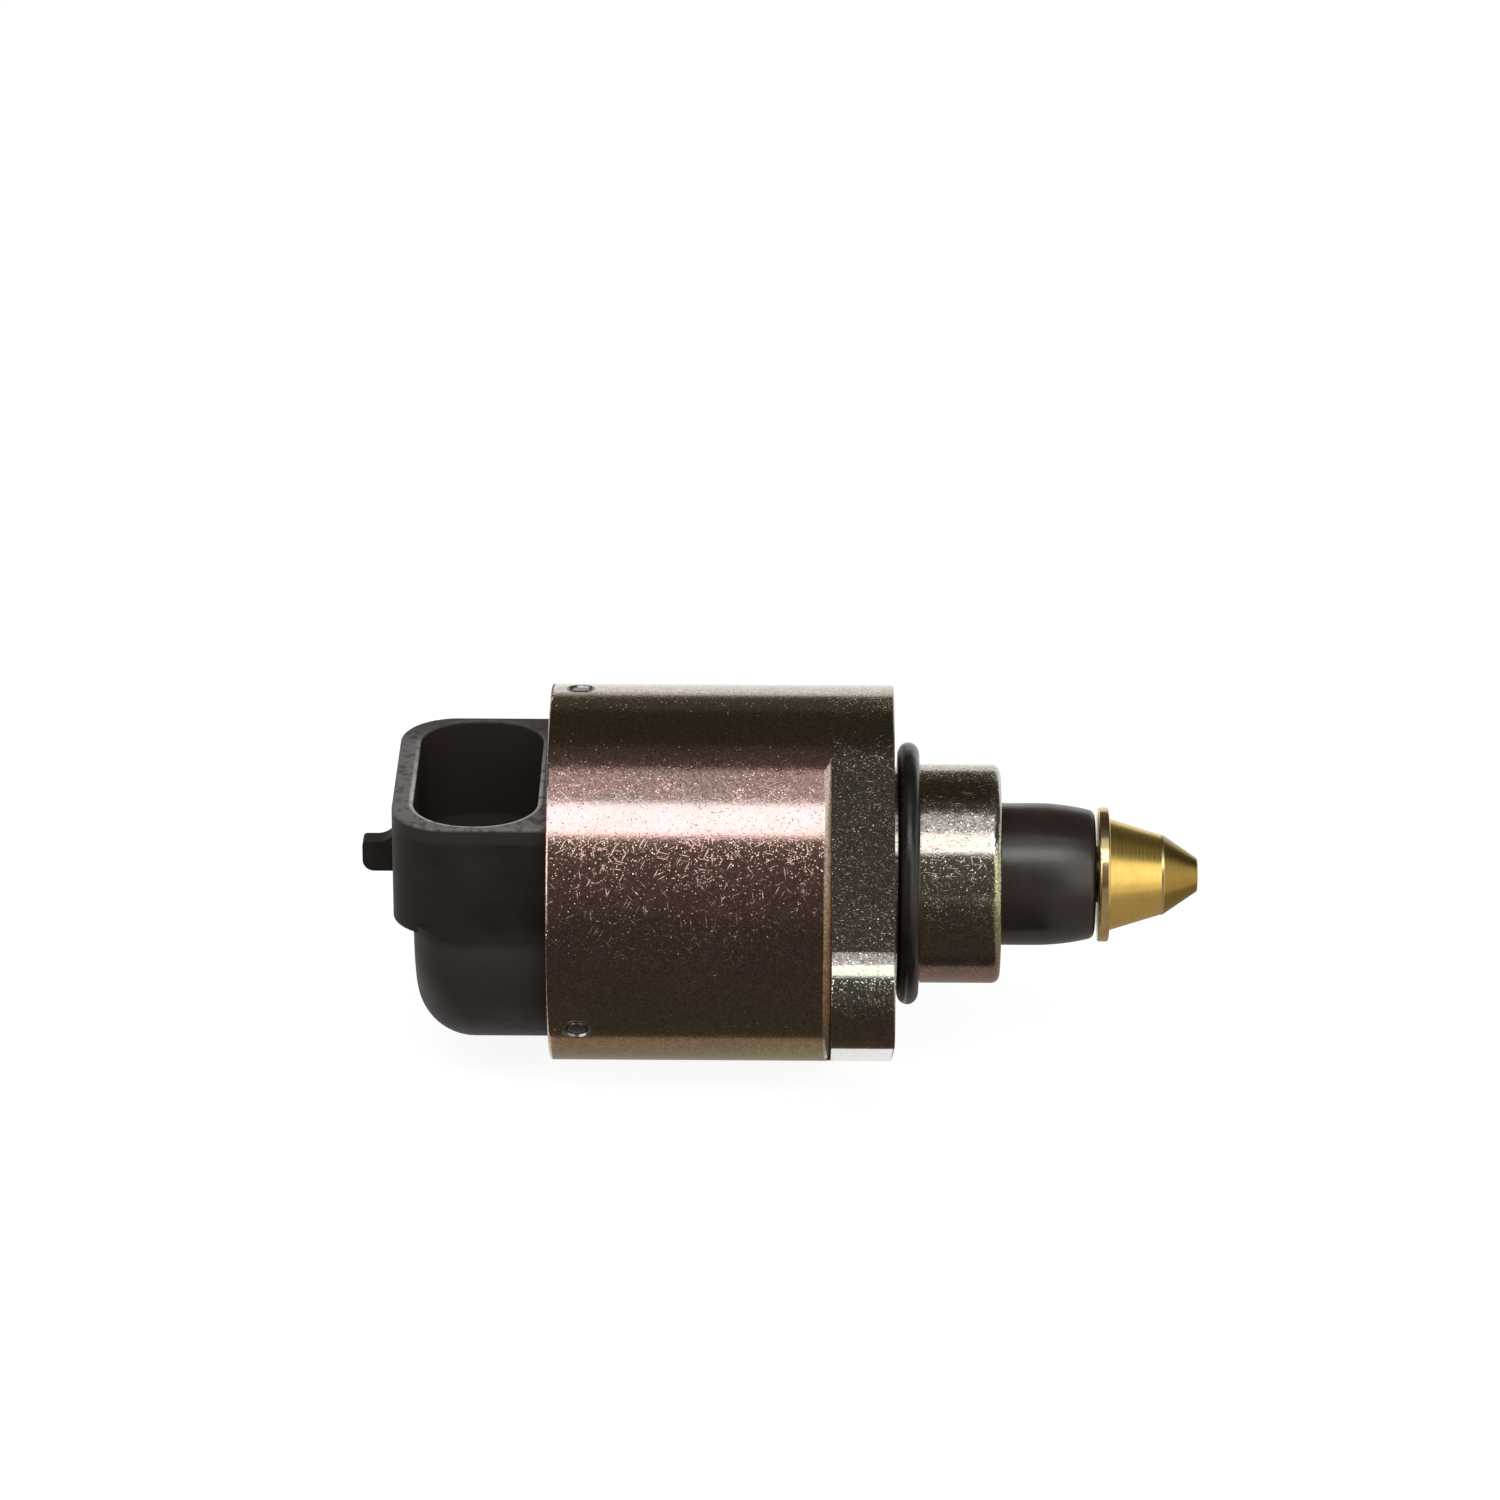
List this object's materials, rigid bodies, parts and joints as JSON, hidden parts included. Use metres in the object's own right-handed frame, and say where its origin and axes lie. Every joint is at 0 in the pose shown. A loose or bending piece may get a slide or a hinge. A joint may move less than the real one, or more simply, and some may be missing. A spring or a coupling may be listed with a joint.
{
  "type": "idle air control valve",
  "caption": "Stepper-driven idle air valve: plated steel barrel with a two-eared flange, black moulded connector cap and a brass pintle that screws in and out of the nose.",
  "frame": {"origin": "centre of the flange's mounting face, on the valve's axis, midway between the two screw holes", "axes": "+X along the valve's axis to the pintle's tip, +Z the way the connector opens, +Y along the line of the two screw holes"},
  "size_m": [0.0709, 0.056, 0.032],
  "materials": {
    "plated_steel": "yellow passivated zinc plate, finely scratched",
    "cap_moulding": "matte, scuffed along its rim",
    "seal_rubber": "satin",
    "pole_steel": "pressed sheet",
    "bobbin_moulding": "natural moulding",
    "coil_copper": "enamelled copper wire",
    "magnet_ferrite": "sintered",
    "hub_moulding": "moulded",
    "nut_brass": "turned",
    "bearing_steel": "ground",
    "cage_moulding": "natural moulding",
    "bush_bronze": "sintered",
    "spring_steel": "tempered",
    "guide_moulding": "semi-gloss moulding",
    "screw_steel": "rolled and ground",
    "washer_plating": "bright plate",
    "pintle_brass": "fine turned",
    "terminal_tin": "tinned"
  },
  "bodies": {
    "valve_body": {"housing": "plated_steel", "connector_cap": "cap_moulding", "cap_seal": "seal_rubber", "mount_seal": "seal_rubber", "front_outer_pole": "pole_steel", "front_bobbin": "bobbin_moulding", "front_coil": "coil_copper", "front_inner_pole": "pole_steel", "rear_inner_pole": "pole_steel", "rear_bobbin": "bobbin_moulding", "rear_coil": "coil_copper", "rear_outer_pole": "pole_steel", "bearing_outer_race": "bearing_steel", "rear_bush": "bush_bronze", "preload_washer": "spring_steel", "guide_sleeve": "guide_moulding", "terminal_1": "terminal_tin", "terminal_2": "terminal_tin", "terminal_3": "terminal_tin", "terminal_4": "terminal_tin"},
    "rotor": {"rotor_magnet": "magnet_ferrite", "rotor_hub": "hub_moulding", "screw_nut": "nut_brass", "bearing_inner_race": "bearing_steel"},
    "ball_train": {"bearing_balls": "bearing_steel", "bearing_cage": "cage_moulding"},
    "pintle_shaft": {"lead_screw": "screw_steel", "pintle_washer": "washer_plating", "pintle": "pintle_brass"}
  },
  "joints": [
    {"name": "rotor_spin", "type": "hinge", "parent": "valve_body", "child": "rotor", "pos_m": [0, 0, 0], "axis": [1, 0, 0], "range_deg": [-72, 2880]},
    {"name": "pintle_slide", "type": "slide", "parent": "valve_body", "child": "pintle_shaft", "axis": [1, 0, 0], "range_m": [-0.00021, 0.00801]},
    {"name": "ball_spin", "type": "hinge", "parent": "valve_body", "child": "ball_train", "pos_m": [0, 0, 0], "axis": [1, 0, 0], "range_deg": [-31, 1225]}
  ],
  "couplings": [
    {"joint": "pintle_slide", "follows": "rotor_spin", "m_per_rad": 0.00015915},
    {"joint": "ball_spin", "follows": "rotor_spin", "ratio": 0.425}
  ]
}
